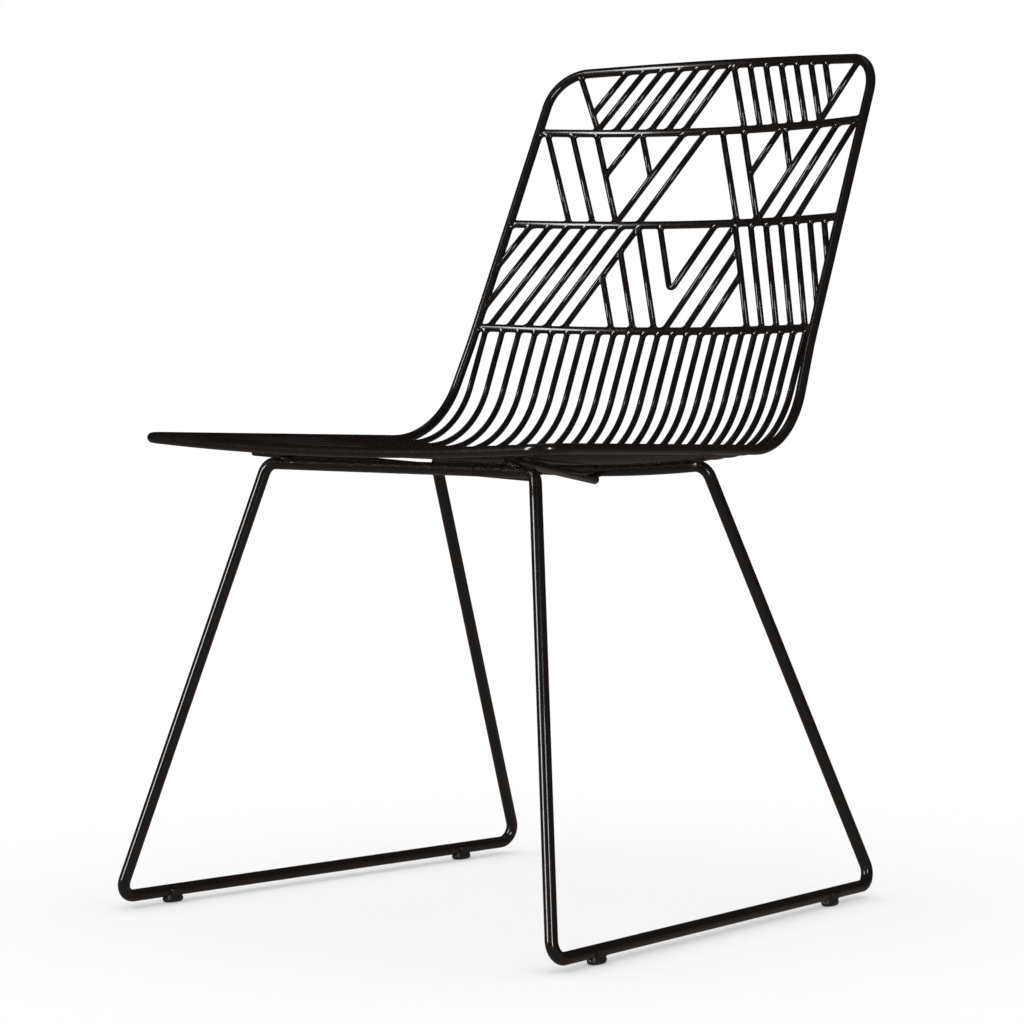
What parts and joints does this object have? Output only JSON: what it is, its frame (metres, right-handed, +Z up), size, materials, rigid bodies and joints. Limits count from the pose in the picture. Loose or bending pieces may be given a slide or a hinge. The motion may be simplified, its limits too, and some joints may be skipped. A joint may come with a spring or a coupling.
{
  "type": "dining chair",
  "caption": "Wire dining chair with a sled base, a seat of parallel wires that bend up behind it and an open lattice back of slanted wires, welded from black steel rod.",
  "frame": {"origin": "on the floor, under the middle of the whole chair's outer box", "axes": "+Z up, +X to the right seen from the front, -Y the way the chair faces"},
  "size_m": [0.5698, 0.6468, 0.864],
  "materials": {
    "black_steel": "satin to gloss black powder coat",
    "glide_plastic": "moulded black plastic with a slight sheen"
  },
  "bodies": {
    "root": {"brace_left": "black_steel", "brace_right": "black_steel", "front_glide_left": "glide_plastic", "front_glide_right": "glide_plastic", "lower_band": "black_steel", "lower_inner_left": "black_steel", "lower_inner_right": "black_steel", "lower_outer_left": "black_steel", "lower_outer_right": "black_steel", "lower_vee": "black_steel", "middle_band": "black_steel", "middle_outer_left": "black_steel", "middle_outer_right": "black_steel", "middle_pair_left": "black_steel", "middle_pair_right": "black_steel", "middle_shorts_left": "black_steel", "middle_shorts_right": "black_steel", "rear_glide_left": "glide_plastic", "rear_glide_right": "glide_plastic", "rim_left": "black_steel", "rim_right": "black_steel", "seat_wire_01": "black_steel", "seat_wire_02": "black_steel", "seat_wire_03": "black_steel", "seat_wire_04": "black_steel", "seat_wire_05": "black_steel", "seat_wire_06": "black_steel", "seat_wire_07": "black_steel", "seat_wire_08": "black_steel", "seat_wire_09": "black_steel", "seat_wire_10": "black_steel", "seat_wire_11": "black_steel", "seat_wire_12": "black_steel", "seat_wire_13": "black_steel", "seat_wire_14": "black_steel", "seat_wire_15": "black_steel", "seat_wire_16": "black_steel", "seat_wire_17": "black_steel", "seat_wire_18": "black_steel", "seat_wire_19": "black_steel", "seat_wire_20": "black_steel", "seat_wire_21": "black_steel", "seat_wire_22": "black_steel", "seat_wire_23": "black_steel", "sled_left": "black_steel", "sled_right": "black_steel", "top_edge_wire_left": "black_steel", "top_edge_wire_right": "black_steel", "top_fan_left": "black_steel", "top_fan_right": "black_steel", "upper_band": "black_steel"}
  },
  "joints": []
}
